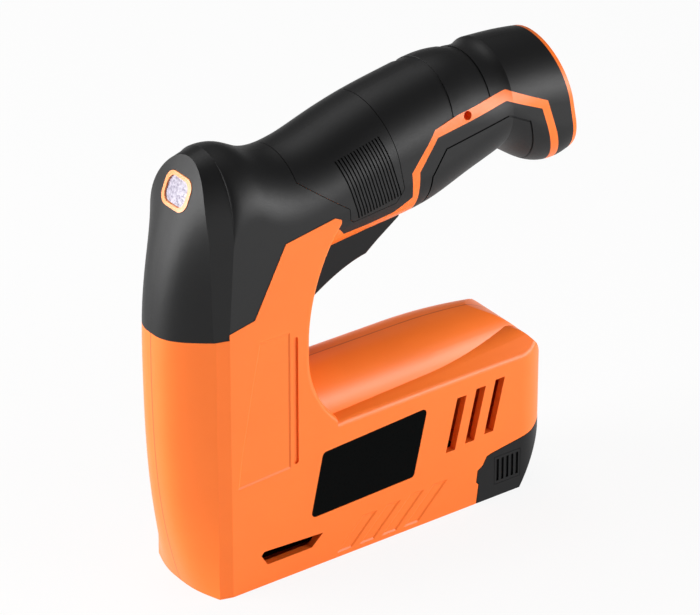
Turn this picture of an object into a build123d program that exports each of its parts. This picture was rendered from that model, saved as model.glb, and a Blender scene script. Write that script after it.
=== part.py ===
from build123d import *
from math import acos, cos, pi, radians, sin, sqrt, tan
import os

# Cordless stapler. The origin is the middle of the staple exit on the base plane.
# +X runs to the rear, +Z up, and -Y is the tool's left side. All sizes in millimetres.

# Body shell
BODY_WIDTH = 44.0
WALL = 3.0
GRIP_SKIN = 1.5
SEAM_STEP = 0.2
SEAM_GAP = 0.25
GROOVE_DEPTH = 0.6
RING_DEPTH = 0.35
PAD_GROOVE = 0.7
NOSE_REACH = 19.2
NOSE_REACH_HEIGHT = 104.0
NOSE_FOOT_REACH = 8.4
HEAD_REACH_LOSS = 9.4
FACE_INSET = 1.5
FACE_FLAT = 13.0
FACE_CORNER_X = -4.4
SIDE_EDGE_X = 0.8
EDGE_TAPER = 16.1
EDGE_ROUND = 1.0
HEAD_SEAM = 110.0
HEAD_LEAN = 3.7
HEAD_TOP = 178.0
HEAD_RISE = 32.0
HEAD_DEEP = 24.0
COLUMN_REAR = 36.8
COLUMN_FOOT_REAR = 49.0
COLUMN_ROUND = 2.0
ARM_TOP = 77.0
ARM_TUBE_RADIUS = 17.5
ARM_TUBE_STRAIGHT = 92.0
ARM_TUBE_END = 186.0
ARM_END = 152.5
ARM_FOOT_END = 136.0
ARM_HEEL = 28.0
ARM_ROUND = 40.0
ARM_CORNER = 16.0
SHOULDER_ROUND = 3.0
ARM_TOP_ROUND = 10.0
HANDLE_END = 154.3
HANDLE_END_TOP = 182.0
HANDLE_END_TILT = 10.5
END_CAP_THICK = 1.6
END_PAD_SEAT = 0.8
END_PAD_RIM = 2.0
RIB_COUNT = 15
RIB_PITCH = 1.34
RIB_CUT = 0.6
MARK_DEPTH = 0.4
MARK_SLOPE = 60.0
STEP_COUNT = 4
SIDE_GROOVE = 2.2
SIDE_GROOVE_DEPTH = 0.8
PLATE_SEAT = 1.0
VENT_COUNT = 3
VENT_PITCH = 9.2

# Clearances
FIT = 0.1
SLIDE_GAP = 0.3
RUN_GAP = 0.05

# Screws that join the halves: place along X, height, side the head is on, and diameter
SCREWS = ((24, 157, 1, 2.9), (24, 100, 1, 2.9), (26, 34, 1, 2.9), (95, 36, 1, 2.9), (142, 47, 1, 2.9),
          (92, 141.5, 1, 2.9), (108.7, 169.2, -1, 1.9))
SCREW_HEAD_SHARE = 1.7
SCREW_TIP = 12.0
SCREW_HEAD_TALL = 2.2
SCREW_SEAT = 9.0
WELL_ROOM = 0.15
BOSS_RADIUS = 3.6
RIB_THICK = 2.0
CRADLE_LOW = 19.5

# Lamp in the nose
LAMP_Z = 164.2
LAMP_WIDTH = 16.0
LAMP_TALL = 12.2
LAMP_BACK = 1.0
LENS_WIDTH = 12.4
LENS_TALL = 9.4
LAMP_CORNER = 4.2
LENS_CORNER = 3.4

# Trigger and switch
TRIGGER_WIDTH = 17.6
TRIGGER_TRAVEL = 6.0
TRIGGER_ROUND = 1.8
TRIGGER_FRONT = 36.0
TRIGGER_TIP = 100.8
TRIGGER_TOP = 133.0
TRIGGER_REAR = 86.6
NECK_TOP = 139.0
SWITCH_X = 70.0
SWITCH_Z = 149.0
SWITCH_TALL = 14.0
SWITCH_LONG = 24.0
SWITCH_WIDTH = 16.0
PLUNGER_DIAMETER = 5.0
PLUNGER_DEPTH = 4.0

# Cell, board and charging socket
CELL_DIAMETER = 18.4
CELL_LENGTH = 65.0
CELL_START = 86.5
CELL_Z = 157.0
BOARD_LOW = 169.5
BOARD_LONG = 36.4
BOARD_WIDTH = 20.0
BOARD_THICK = 1.6
BOARD_X = 131.2
SOCKET_Z = 172.6
PORT_WIDTH = 9.0
PORT_TALL = 3.6

# Striker drive
STAPLE_WIDTH = 11.4
BLADE_THICK = 1.2
BLADE_WIDTH = 11.2
BLADE_TIP = 0.8
BLADE_ROOM = 0.3
GUIDE_TOP = 24.5
GUIDE_FRONT = -3.4
GUIDE_REAR = 5.0
GUIDE_WIDTH = 19.2
BASE_TOP = 36.0
BLOCK_DEEP = 10.4
BLOCK_CORNER = 2.5
GUIDE_CORNER = 1.5
HAMMER_LOW = 44.0
HAMMER_TALL = 18.0
HAMMER_WIDTH = 29.6
BLADE_PIN = 3.0
BLADE_PIN_RISE = 6.0
BLADE_SEAT = 12.0
ROD_SPACING = 23.0
ROD_DIAMETER = 4.0
SPRING_PLATE_Z = 132.0
SPRING_PLATE_THICK = 4.0
SPRING_WIRE = 2.2
SPRING_DIAMETER = 13.4
LIFT_MODULE = 1.0
LIFT_TEETH = 20
LIFT_FACE = 6.0
LIFT_FRONT = 8.0
RACK_TEETH = 8
LIFT_PLAY = 0.08
SECTOR_TEETH = 8
PRESSURE = 25.0
BRACKET_X = 17.0
BRACKET_THICK = 3.5
BUSH_RADIUS = 5.0

# Gearbox and motor
GEAR_MODULE = 0.57
SUN_TEETH = 12
PLANET_TEETH = 15
RING_TEETH = 42
GEAR_FACE = 6.0
GEARBOX_FRONT = 42.0
CARRIER_THICK = 3.0
PLAY = 0.05
MOTOR_LENGTH = 37.0
SHAFT_DIAMETER = 6.0
PIN_DIAMETER = 2.4
CAN_WALL = 1.0
MAGNET_THICK = 3.0
MOTOR_SHAFT = 2.3
BELL_THICK = 3.5
LEAD_RADIUS = 0.9
LEAD_SPREAD = 7.0
LEAD_DOWN_X = 31.0

# Magazine
CHANNEL_TOP = 17.8
SHEET = 1.2
CHANNEL_INNER = 12.0
CHANNEL_FRONT = 5.2
RAIL_WIDTH = 9.2
RAIL_TOP = 13.0
RAIL_FRONT = 1.0
RAIL_LOW = 0.6
PUSHER_FRONT = 1.6
PUSHER_LONG = 12.0
PUSHER_ROD = 2.4
PUSHER_ROD_Z = 8.0
CAP_FRONT = 115.0
CATCH_FRONT = 123.6
CATCH_LONG = 12.4
CATCH_LOW = 5.6
CATCH_TALL = 12.0
CATCH_DEEP = 7.0
CATCH_TRAVEL = 1.5
CATCH_RIBS = 5
CATCH_GAP = 0.15

# Sizes that follow from the ones above
HALF = BODY_WIDTH / 2
OUTSIDE = HALF + 8
FACE_HALF = HALF - FACE_INSET
TUBE_AXIS = ARM_TOP - ARM_TUBE_RADIUS
GEARBOX_RADIUS = ARM_TUBE_RADIUS - WALL - SLIDE_GAP
MOTOR_RADIUS = GEARBOX_RADIUS - SLIDE_GAP
CHANNEL_HALF = CHANNEL_INNER / 2
BLADE_HALF = BLADE_THICK / 2
ROD_LOW = GUIDE_TOP + 4
ROD_PLACES = ((0, -ROD_SPACING / 2), (0, ROD_SPACING / 2))
HAMMER_TOP = HAMMER_LOW + HAMMER_TALL
PIN_Z = HAMMER_LOW + BLADE_PIN_RISE
RACK_PITCH_Y = LIFT_MODULE * LIFT_TEETH / 2
TOOTH_PITCH = pi * LIFT_MODULE
LIFT_ADDENDUM = 0.9 * LIFT_MODULE
LIFT_DEDENDUM = 1.2 * LIFT_MODULE
SUN_RADIUS = GEAR_MODULE * SUN_TEETH / 2
PLANET_RADIUS = GEAR_MODULE * PLANET_TEETH / 2
ORBIT = SUN_RADIUS + PLANET_RADIUS
RING_INNER = GEAR_MODULE * RING_TEETH / 2
TOOTH_OUT = 0.8 * GEAR_MODULE
TOOTH_IN = 1.1 * GEAR_MODULE
CARRIER_RADIUS = RING_INNER - TOOTH_OUT - 0.5
PLANET_ANGLES = (0, 2 * pi / 3, 4 * pi / 3)
PLANET_PLACES = [(ORBIT * cos(a), ORBIT * sin(a)) for a in PLANET_ANGLES]
OUT_PLATE = GEARBOX_FRONT + 3
OUT_GEARS = OUT_PLATE + CARRIER_THICK + 1
MID_PLATE = OUT_GEARS + GEAR_FACE + 1
MID_GEARS = MID_PLATE + CARRIER_THICK + 1
MOTOR_FACE = MID_GEARS + GEAR_FACE + 2
MOTOR_REAR = MOTOR_FACE + MOTOR_LENGTH
ROTOR_RADIUS = MOTOR_RADIUS - CAN_WALL - MAGNET_THICK - 0.5
LEAD_Z = TUBE_AXIS - GEARBOX_RADIUS - 2 * LEAD_RADIUS - 1.1
CHANNEL_END = CAP_FRONT - 1.5
RAIL_END = CAP_FRONT + 6
PUSHER_TONGUE = PUSHER_FRONT + 10
CATCH_INNER = HALF - CATCH_DEEP
CATCH_BORE = HALF - CATCH_DEEP / 2
POCKET_FLOOR = CATCH_INNER - CATCH_TRAVEL - 0.5
CATCH_X = CATCH_FRONT + CATCH_LONG / 2
CATCH_Z = CATCH_LOW + CATCH_TALL / 2
PORT_ROOM = 0.35

side_plane = Plane.XZ
lean = radians(HEAD_LEAN)
tilt = radians(HANDLE_END_TILT)
head_plane = Plane((SIDE_EDGE_X, 0, HEAD_SEAM), x_dir=(0, 1, 0), z_dir=(cos(lean), 0, -sin(lean)))
head_front = Plane((SIDE_EDGE_X, 0, HEAD_SEAM), x_dir=(0, -1, 0), z_dir=(-cos(lean), 0, sin(lean)))
end_plane = Plane((HANDLE_END, 0, HANDLE_END_TOP), x_dir=(0, 1, 0), z_dir=(cos(tilt), 0, sin(tilt)))
os.makedirs("parts", exist_ok=True)


# Distance of the nose's middle line from the staple line at a height
def nose_x(z):
    rise = z - NOSE_REACH_HEIGHT
    if rise < 0:
        return -NOSE_REACH + (NOSE_REACH - NOSE_FOOT_REACH) * (-rise / NOSE_REACH_HEIGHT) ** 3
    return -NOSE_REACH + HEAD_REACH_LOSS * (rise / 52) ** 2


# How far the nose face falls back at a distance from the middle plane
def face_fall(y):
    return (FACE_FLAT ** 3 + y ** 3) ** (1 / 3) - FACE_FLAT


# Solid behind the bulging nose face: flat in the middle, sloping back to its side edges
def front_form(inset):
    slices = []
    side = HALF + 18
    for z in (-3, 12, 30, 55, 80, 104, 122, 140, 156, 170, 184):
        middle = nose_x(z) + inset
        corner = max(FACE_CORNER_X + inset, middle + 2.5)
        half_curve = []
        for share in (1, 0.85, 0.65, 0.45, 0.22):
            y = FACE_HALF * share
            half_curve.append((middle + (corner - middle) * face_fall(y) / face_fall(FACE_HALF), y))
        curve = [(x, -y) for x, y in half_curve] + [(middle, 0)] + half_curve[::-1]
        with BuildSketch(Plane.XY.offset(z)) as plan:
            with BuildLine():
                Spline(*curve)
                Polyline((corner, FACE_HALF), (corner, side), (80, side),
                         (80, -side), (corner, -side), (corner, -FACE_HALF))
            make_face()
        slices.append(plan.sketch)
    with BuildPart() as form:
        loft(sections=slices)
    return form.part


# Column with its swept foot, up to the seam under the soft head
def column_body(inset):
    reach = HALF - inset
    waist_low = ARM_TOP + 14
    waist_high = ARM_TOP + 19
    with BuildSketch(side_plane) as side:
        with BuildLine():
            Polyline((-20, 0), (COLUMN_FOOT_REAR, 0), (COLUMN_FOOT_REAR, ARM_TOP - 15.8))
            RadiusArc((COLUMN_FOOT_REAR, ARM_TOP - 15.8), (COLUMN_REAR, waist_low), 42)
            Line((COLUMN_REAR, waist_low), (COLUMN_REAR, waist_high))
            RadiusArc((COLUMN_REAR, waist_high), (48.5, 137.4), 79.1)
            Polyline((48.5, 137.4), (49.8, 139.2), (51.2, 141), (50.9, 144), (48, 145.5), (26, 141.8),
                     (12, HEAD_SEAM + 4.7), (SIDE_EDGE_X, HEAD_SEAM + 2.4), (SIDE_EDGE_X, HEAD_SEAM),
                     (-20, HEAD_SEAM), (-20, 0))
        make_face()
        if inset:
            offset(amount=-inset, kind=Kind.INTERSECTION)
    with BuildSketch() as plan:
        slope = tan(radians(EDGE_TAPER))
        with BuildLine():
            Polyline((SIDE_EDGE_X, -reach), (SIDE_EDGE_X - 20, -reach + 20 * slope),
                     (SIDE_EDGE_X - 20, reach - 20 * slope), (SIDE_EDGE_X, reach),
                     (60, reach), (60, -reach), close=True)
        make_face()
        fillet(plan.vertices().filter_by(lambda v: abs(v.X - SIDE_EDGE_X) < 0.01), EDGE_ROUND)
    form = front_form(inset)
    with BuildPart() as body:
        extrude(to_extrude=side.sketch, amount=reach, both=True)
        if not inset:
            rear = body.edges().filter_by(lambda e: abs(abs(e.center().Y) - reach) < 0.01
                                          and COLUMN_REAR - 0.1 < e.center().X < COLUMN_FOOT_REAR - 0.1
                                          and ARM_TOP - 20 < e.center().Z < 137)
            fillet(rear, COLUMN_ROUND)
        extrude(to_extrude=plan.sketch, amount=160, mode=Mode.INTERSECT)
        add(form, mode=Mode.INTERSECT)
    return body.part


# Tube over the motor, narrowing to the rear, inside the arm's side profile
def arm_tube(inset, profile):
    top = TUBE_AXIS + ARM_TUBE_RADIUS - inset
    end = ARM_TUBE_END - inset
    with BuildPart() as tube:
        with BuildSketch(side_plane):
            with BuildLine():
                Polyline((end, TUBE_AXIS), (19, TUBE_AXIS), (19, top), (ARM_TUBE_STRAIGHT, top))
                Bezier((ARM_TUBE_STRAIGHT, top), ((ARM_TUBE_STRAIGHT + end) / 2, top), (end, TUBE_AXIS))
            make_face()
        revolve(axis=Axis((0, 0, TUBE_AXIS), (1, 0, 0)))
        extrude(to_extrude=profile, amount=HALF, both=True, mode=Mode.INTERSECT)
    return tube.part


# Magazine arm: straight sides, a slanted shoulder, and a half tube over the motor
def arm_body(inset):
    reach = HALF - inset
    with BuildSketch(side_plane) as side:
        with BuildLine():
            Polyline((20, ARM_TOP + 2), (20, 0), (ARM_FOOT_END, 0), (ARM_END, ARM_HEEL),
                     (ARM_END, ARM_TOP - ARM_ROUND))
            RadiusArc((ARM_END, ARM_TOP - ARM_ROUND), (ARM_END - ARM_ROUND, ARM_TOP), -ARM_ROUND)
            Polyline((ARM_END - ARM_ROUND, ARM_TOP), (ARM_END - ARM_ROUND - 6, ARM_TOP + 2),
                     (20, ARM_TOP + 2))
        make_face()
        if inset:
            offset(amount=-inset, kind=Kind.INTERSECTION)
    with BuildSketch() as plan:
        with Locations((ARM_END - inset - 80, 0)):
            Rectangle(160, 2 * reach)
        fillet(plan.vertices().group_by(Axis.X)[-1], ARM_CORNER - inset)
    ends = []
    for x, shoulder, crease, inward in ((15, 19, 18.5, 0), (ARM_END + 7.5, 19, 8, 3.7)):
        side_z = ARM_TOP - shoulder - 0.6 * inset
        crease_y = ARM_TUBE_RADIUS - inward - inset
        crease_z = ARM_TOP - crease - inset
        outer_y = reach + 8
        outer_z = side_z - 8 * (crease_z - side_z) / (reach - crease_y)
        with BuildSketch(Plane.YZ.offset(x)) as cross:
            with BuildLine():
                Polyline((-outer_y, outer_z), (-crease_y, crease_z), (crease_y, crease_z), (outer_y, outer_z),
                         (outer_y, ARM_TOP + 40), (-outer_y, ARM_TOP + 40), close=True)
            make_face()
        ends.append(cross.sketch)
    tube = arm_tube(inset, side.sketch)
    with BuildPart() as above:
        loft(sections=ends, ruled=True)
    with BuildPart() as body:
        extrude(to_extrude=side.sketch, amount=reach + 2, both=True)
        extrude(to_extrude=plan.sketch, amount=ARM_TOP + 22, mode=Mode.INTERSECT)
        add(above.part, mode=Mode.SUBTRACT)
        if not inset:
            shoulders = body.edges().filter_by(lambda e: abs(abs(e.center().Y) - reach) < 0.01
                                               and e.center().Z > ARM_TOP / 2 and e.length > 80)
            fillet(shoulders, SHOULDER_ROUND)
            creases = body.edges().filter_by(lambda e: abs(e.center().Y) < ARM_TUBE_RADIUS
                                             and e.center().Z > TUBE_AXIS and e.length > 20)
            fillet(creases, ARM_TOP_ROUND)
        add(tube)
    return body.part


# Stadium-shaped cross-section of the handle; the top curve can be taller than a half circle
def handle_section(plane, low, high, inset, rise=0):
    radius = min(HALF - SEAM_STEP, (high - low) / 2 - 0.3)
    bottom = low + radius
    top = high - (rise or radius)
    crown = (rise or radius) - inset
    radius = radius - inset
    with BuildSketch(plane) as cross:
        with BuildLine():
            Line((radius, bottom), (radius, top))
            EllipticalCenterArc((0, top), radius, crown, arc_size=180)
            Line((-radius, top), (-radius, bottom))
            ThreePointArc((-radius, bottom), (0, bottom - radius), (radius, bottom))
        make_face()
    return cross.sketch


# Head, neck and handle along the tool, with the flare behind the little finger
def handle_body(inset):
    front = [handle_section(head_plane, 80 - HEAD_SEAM, HEAD_TOP - HEAD_SEAM, inset, HEAD_RISE)]
    for x, low, high in ((12, 84, 177), (22, 104, 172.6), (34, 121, 170), (45, 124, 171.6),
                         (57, 125.4, 175.4), (75, 127.3, 180.5), (97, 130.4, 184.6),
                         (114, 136.6, 185.8), (130, 142.4, 186)):
        front.append(handle_section(Plane.YZ.offset(x), low, high, inset))
    rear = []
    for x, low, high in ((130, 142.4, 186), (141, 136.6, 185.4), (151, 131.2, 184.3),
                         (160, 131.5, 182.7), (172, 140, 180)):
        rear.append(handle_section(Plane.YZ.offset(x), low, high, inset))
    with BuildPart() as body:
        loft(sections=front)
        loft(sections=rear)
    return body.part


# Tapered front of the head, from the seam up
def head_body(inset, floor):
    spring_line = HEAD_TOP - HEAD_SEAM - HEAD_RISE
    arches = []
    for forward in (0, HEAD_DEEP):
        inward = inset + forward * tan(radians(EDGE_TAPER))
        radius = HALF - SEAM_STEP - inward
        with BuildSketch(head_front.offset(forward)) as arch:
            with BuildLine():
                Polyline((-radius, spring_line), (-radius, -24), (radius, -24), (radius, spring_line))
                EllipticalCenterArc((0, spring_line), radius, HEAD_RISE - inward, arc_size=180)
            make_face()
        arches.append(arch.sketch)
    form = front_form(inset)
    with BuildPart() as body:
        loft(sections=arches, ruled=True)
        add(form, mode=Mode.INTERSECT)
        split(bisect_by=Plane.XY.offset(floor), keep=Keep.TOP)
    return body.part


# Left half of the orange body form
def body_half(inset):
    column = column_body(inset)
    arm = arm_body(inset)
    with BuildPart() as body:
        add(column)
        add(arm)
        split(bisect_by=Plane.XZ, keep=Keep.TOP)
    return body.part


# Left half of the head and handle form, ending at the end cap
def grip_half(inset, floor):
    handle = handle_body(inset)
    head = head_body(inset, floor)
    with BuildPart() as body:
        add(handle)
        add(head)
        split(bisect_by=end_plane.offset(-END_CAP_THICK), keep=Keep.BOTTOM)
        split(bisect_by=Plane.XZ, keep=Keep.TOP)
    return body.part


# Layer of the handle between its surface and a depth
def handle_layer(depth):
    core = handle_body(depth)
    with BuildPart() as layer:
        add(handle_full)
        add(core, mode=Mode.SUBTRACT)
    return layer.part


# Prism across the whole tool over an outline on the side
def side_prism(points):
    with BuildPart() as prism:
        with BuildSketch(side_plane):
            with BuildLine():
                Polyline(*points, close=True)
            make_face()
        extrude(amount=OUTSIDE, both=True)
    return prism.part


# Cylinder across the tool from one y to another
def cross_pin(x, z, radius, y_from, y_to):
    with BuildPart() as pin:
        with BuildSketch(Plane((0, y_from, 0), x_dir=(1, 0, 0), z_dir=(0, 1, 0))):
            with Locations((x, -z)):
                Circle(radius)
        extrude(amount=y_to - y_from)
    return pin.part


body_outer = body_half(0)
grip_outer = grip_half(0, HEAD_SEAM)
grip_core = grip_half(GRIP_SKIN, HEAD_SEAM)
body_inner = body_half(WALL)
grip_inner = grip_half(WALL, HEAD_SEAM - 10)
handle_full = handle_body(0)
groove_layer = handle_layer(GROOVE_DEPTH)
ring_layer = handle_layer(RING_DEPTH)

with BuildPart() as cavity:
    add(body_inner)
    add(grip_inner)

# Soft layer between the outer form and the core
with BuildPart() as skin:
    add(grip_outer)
    add(grip_core, mode=Mode.SUBTRACT)
    add(body_outer, mode=Mode.SUBTRACT)

# Orange stripe and keel on the handle, seen from the side, and the pad area inside the stripe
stripe_edge = [(36, 100), (36, 141), (48, 141), (51, 139.4), (54, 136), (66, 136.2), (76.8, 137.6),
               (84.2, 142.5), (83.6, 146), (83, 153.2), (93.8, 167.6), (104.8, 170.6), (127.8, 173.6),
               (146, 164.8), (158.8, 126)]
pad_edge = [(155.5, 126), (143.4, 162.2), (127.3, 169.6), (94.7, 164.4), (86.6, 152.5), (86.7, 145),
            (87.5, 136), (91, 122)]
stripe_prism = side_prism(stripe_edge + pad_edge)
pad_prism = side_prism(pad_edge + [(155.5, 122)])

# Saddle area across the handle
with BuildSketch(side_plane) as saddle_outline:
    with BuildLine():
        Polyline((34.5, 200), (34.3, 162), (54.6, 147), (55.3, 142.2), (57, 140.6), (76.5, 142.4),
                 (79.7, 148), (69, 200), close=True)
    make_face()

# Soft overmould of head and rear grip, with two shallow ring channels; the right one mirrors it
with BuildPart() as ring_channels:
    add(side_prism([(96.6, 166), (99.6, 200), (103.6, 200), (102.4, 166)]))
    add(side_prism([(115, 166), (117.4, 200), (121.4, 200), (120.4, 166)]))
    add(ring_layer, mode=Mode.INTERSECT)

with BuildPart() as overmold_left:
    add(skin.part)
    extrude(to_extrude=saddle_outline.sketch, amount=OUTSIDE, both=True, mode=Mode.SUBTRACT)
    add(stripe_prism, mode=Mode.SUBTRACT)
    add(pad_prism, mode=Mode.SUBTRACT)
    with Locations((60, 0, HEAD_SEAM - 50)):
        Box(200, 100, 100, mode=Mode.SUBTRACT)
    add(ring_channels.part, mode=Mode.SUBTRACT)
overmold_half = overmold_left.part.solids().sort_by(SortBy.VOLUME)[-1]

# Finger pad inside the stripe, with a thin groove around its raised middle
with BuildPart() as pad_groove:
    with BuildSketch(side_plane):
        with BuildLine():
            Polyline((94, 122), (92, 138), (92.2, 149), (98.6, 159), (107, 160.4), (128, 164),
                     (138.2, 158.6), (149.4, 122), close=True)
        make_face()
        offset(amount=-PAD_GROOVE, kind=Kind.INTERSECTION, mode=Mode.SUBTRACT)
    extrude(amount=OUTSIDE, both=True)
    add(groove_layer, mode=Mode.INTERSECT)

with BuildPart() as lower_grip_left:
    add(skin.part)
    add(pad_prism, mode=Mode.INTERSECT)
    add(pad_groove.part, mode=Mode.SUBTRACT)

# Ribbed saddle over both halves of the handle
with BuildPart() as rib_cuts:
    with BuildSketch(side_plane):
        for k in range(RIB_COUNT):
            top_x = 51.2 + RIB_PITCH * k
            low_x = 59.1 + RIB_PITCH * k
            top_z = 165.6 + 0.35 * k
            low_z = 141.8 + 0.27 * k
            with BuildLine():
                Polyline((top_x, top_z), (top_x + RIB_CUT, top_z), (low_x + RIB_CUT, low_z), (low_x, low_z),
                         close=True)
            make_face()
    extrude(amount=OUTSIDE)
    add(groove_layer, mode=Mode.INTERSECT)

with BuildPart() as saddle_half:
    with BuildSketch(side_plane):
        add(saddle_outline.sketch)
        offset(amount=-SEAM_GAP, kind=Kind.INTERSECTION)
    extrude(amount=OUTSIDE, both=True)
    add(skin.part, mode=Mode.INTERSECT)
    add(rib_cuts.part, mode=Mode.SUBTRACT)

with BuildPart() as grip_saddle:
    add(saddle_half.part)
    mirror(about=Plane.XZ)
grip_saddle.part.label = "grip_saddle"
export_step(grip_saddle.part, "parts/grip_saddle.step")

# Outline of the magazine end cap on the side, the room around it and the wall around that
with BuildSketch(side_plane) as cap_outline:
    with BuildLine():
        Polyline((CAP_FRONT - 0.6, -5), (CAP_FRONT + 1.1, 8.4), (CAP_FRONT, 9.7), (CAP_FRONT + 0.6, 14.5),
                 (CAP_FRONT + 2.9, 15.9), (CAP_FRONT + 4.8, 19.3), (CAP_FRONT + 7, 20), (142, 23),
                 (160, 29.5), (160, -5), close=True)
    make_face()

with BuildSketch(side_plane) as cap_room:
    add(cap_outline.sketch)
    offset(amount=SLIDE_GAP, kind=Kind.INTERSECTION)

with BuildSketch(side_plane) as cap_wall:
    add(cap_room.sketch)
    offset(amount=WALL - 0.6, kind=Kind.INTERSECTION)
    add(cap_room.sketch, mode=Mode.SUBTRACT)

# Plain side plate: a slanted panel with small corners
with BuildSketch(side_plane) as plate_outline:
    with BuildLine():
        Polyline((36.4, 21.4), (84.6, 22.8), (91, 51.2), (42.2, 48.4), close=True)
    make_face()
    fillet(plate_outline.vertices(), 2)

# Lamp opening on the nose face
with BuildPart() as lamp_hole:
    with BuildSketch(Plane.YZ.offset(LAMP_BACK)):
        with Locations((0, LAMP_Z)):
            RectangleRounded(LAMP_WIDTH, LAMP_TALL, LAMP_CORNER)
    extrude(amount=-OUTSIDE)

# Trigger slot through the column's rear wall and the handle's underside
with BuildPart() as trigger_slot:
    with BuildSketch(side_plane):
        with BuildLine():
            Polyline((31, TRIGGER_TIP - SLIDE_GAP), (60, TRIGGER_TIP - SLIDE_GAP), (TRIGGER_REAR + 1.8, 124),
                     (TRIGGER_REAR + 1.8, 136), (50, 136), (31, 128), close=True)
        make_face()
    extrude(amount=TRIGGER_WIDTH / 2 + SLIDE_GAP, both=True)

# Inner ribs: cell cradles, motor cradles, rear web, switch shelf, spring plate stop, cap wall, screw bosses
with BuildPart() as inner_ribs:
    for x in (97, 117, 141):
        with Locations((x, 0, CELL_Z + 1)):
            Box(RIB_THICK, 2 * OUTSIDE, 60)
    for x in (52, 86):
        with Locations((x, 0, (CRADLE_LOW + TUBE_AXIS) / 2)):
            Box(RIB_THICK, 32, TUBE_AXIS - CRADLE_LOW)
    with Locations((116, 0, 40)):
        Box(36, RIB_THICK, 36)
    with Locations((SWITCH_X, 0, SWITCH_Z + 6)):
        Box(16, 2 * OUTSIDE, 3)
    with Locations((2.5, 0, SPRING_PLATE_Z + 6.2)):
        Box(12, 2 * OUTSIDE, 4)
    extrude(to_extrude=cap_wall.sketch, amount=OUTSIDE, both=True)
    for x, z, head_side, thick in SCREWS:
        add(cross_pin(x, z, BOSS_RADIUS, -OUTSIDE, OUTSIDE))
    add(cavity.part, mode=Mode.INTERSECT)
    with BuildSketch(Plane.YZ.offset(80)):
        with Locations((0, CELL_Z)):
            Circle(CELL_DIAMETER / 2 + FIT)
    extrude(amount=80, mode=Mode.SUBTRACT)
    with Locations((BOARD_X + 1.8, 0, BOARD_LOW + 9.9)):
        Box(42, BOARD_WIDTH + 0.6, 20, mode=Mode.SUBTRACT)
    with BuildSketch(Plane.YZ.offset(40)):
        with Locations((0, TUBE_AXIS)):
            Circle(GEARBOX_RADIUS + FIT)
        with Locations((-LEAD_SPREAD, LEAD_Z), (LEAD_SPREAD, LEAD_Z)):
            Circle(LEAD_RADIUS + 0.4)
    extrude(amount=70, mode=Mode.SUBTRACT)
    with Locations((SWITCH_X, 0, SWITCH_Z + 6)):
        Box(30, SWITCH_WIDTH + 2 * FIT, 20, mode=Mode.SUBTRACT)
    with Locations((0, 0, SPRING_PLATE_Z + 6)):
        Box(40, 20, 10, mode=Mode.SUBTRACT)
    with Locations((80, 0, 9)):
        Box(160, 20.6, 19, mode=Mode.SUBTRACT)

# Shallow marks on the sides: column panel with sloped walls, slanted steps along the base, groove
with BuildPart() as side_marks:
    with BuildSketch(side_plane.offset(HALF - MARK_DEPTH)):
        with BuildLine():
            Polyline((14.5, 104), (11.3, 88.2), (5.8, 58), (4.4, 46.4), (26.8, 47.6), (26.8, 104), close=True)
        make_face()
        for k in range(STEP_COUNT):
            x = 50 + 10.5 * k
            tall = 11 + 0.6 * k
            with BuildLine():
                Polyline((x, 2.6), (x + 5, 2.6), (x + 5 + tall, 2.6 + tall), (x + tall, 2.6 + tall),
                         close=True)
            make_face()
    extrude(amount=MARK_DEPTH + FIT, taper=-MARK_SLOPE)
    with BuildSketch(side_plane.offset(HALF - SIDE_GROOVE_DEPTH)):
        with Locations((29.9, 75)):
            SlotOverall(54, SIDE_GROOVE, rotation=90)
    extrude(amount=SIDE_GROOVE_DEPTH + FIT)

# Vents, staple window and side plate seat
with BuildPart() as side_openings:
    with BuildSketch(side_plane.offset(HALF - 8)):
        for k in range(VENT_COUNT):
            x = 99.8 + VENT_PITCH * k
            with BuildLine():
                Polyline((x, 28 + k), (x + 4.4, 28 + k), (x + 9.7, 50.4 + k), (x + 5.2, 50.4 + k), close=True)
            make_face()
        with BuildLine():
            Polyline((13.6, 13.4), (15, 14.8), (42, 13.4), (36.8, 8.7), (16.4, 8.7), close=True)
        make_face()
    extrude(amount=12)
    with BuildSketch(side_plane.offset(HALF - PLATE_SEAT)):
        add(plate_outline.sketch)
    extrude(amount=PLATE_SEAT + 2)

# Left housing half before its screw holes
with BuildPart() as shell_half:
    add(body_outer)
    add(grip_core)
    add(cavity.part, mode=Mode.SUBTRACT)
with BuildPart() as stripe_half:
    add(grip_outer)
    add(stripe_prism, mode=Mode.INTERSECT)
    add(cavity.part, mode=Mode.SUBTRACT)
with BuildPart() as housing_half:
    add(shell_half.part)
    add(stripe_half.part)
    add(inner_ribs.part)
    add(trigger_slot.part, mode=Mode.SUBTRACT)
    add(side_marks.part, mode=Mode.SUBTRACT)
    add(side_openings.part, mode=Mode.SUBTRACT)
    extrude(to_extrude=cap_room.sketch, amount=OUTSIDE, both=True, mode=Mode.SUBTRACT)
    with Locations((80, 0, 1.5)):
        Box(160, 2 * (CHANNEL_HALF + SHEET + FIT), 3.2, mode=Mode.SUBTRACT)
    with Locations(((GUIDE_FRONT + GUIDE_REAR) / 2, 0, 1.5)):
        Box(GUIDE_REAR - GUIDE_FRONT + 2 * SLIDE_GAP, GUIDE_WIDTH + 2 * SLIDE_GAP, 3.2, mode=Mode.SUBTRACT)
    add(lamp_hole.part, mode=Mode.SUBTRACT)

# Screw holes: pilot on the tip side, clearance hole and head well on the head side
with BuildPart() as screw_holes:
    for x, z, head_side, thick in SCREWS:
        tip = -(SCREW_TIP + 1) * head_side
        seat = SCREW_SEAT * head_side
        outside = OUTSIDE * head_side
        add(cross_pin(x, z, thick / 2 + 0.03, min(tip, 0), max(tip, 0)))
        add(cross_pin(x, z, thick / 2 + 0.2, min(0, seat), max(0, seat)))
        add(cross_pin(x, z, SCREW_HEAD_SHARE * thick / 2 + WELL_ROOM, min(seat, outside), max(seat, outside)))

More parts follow.
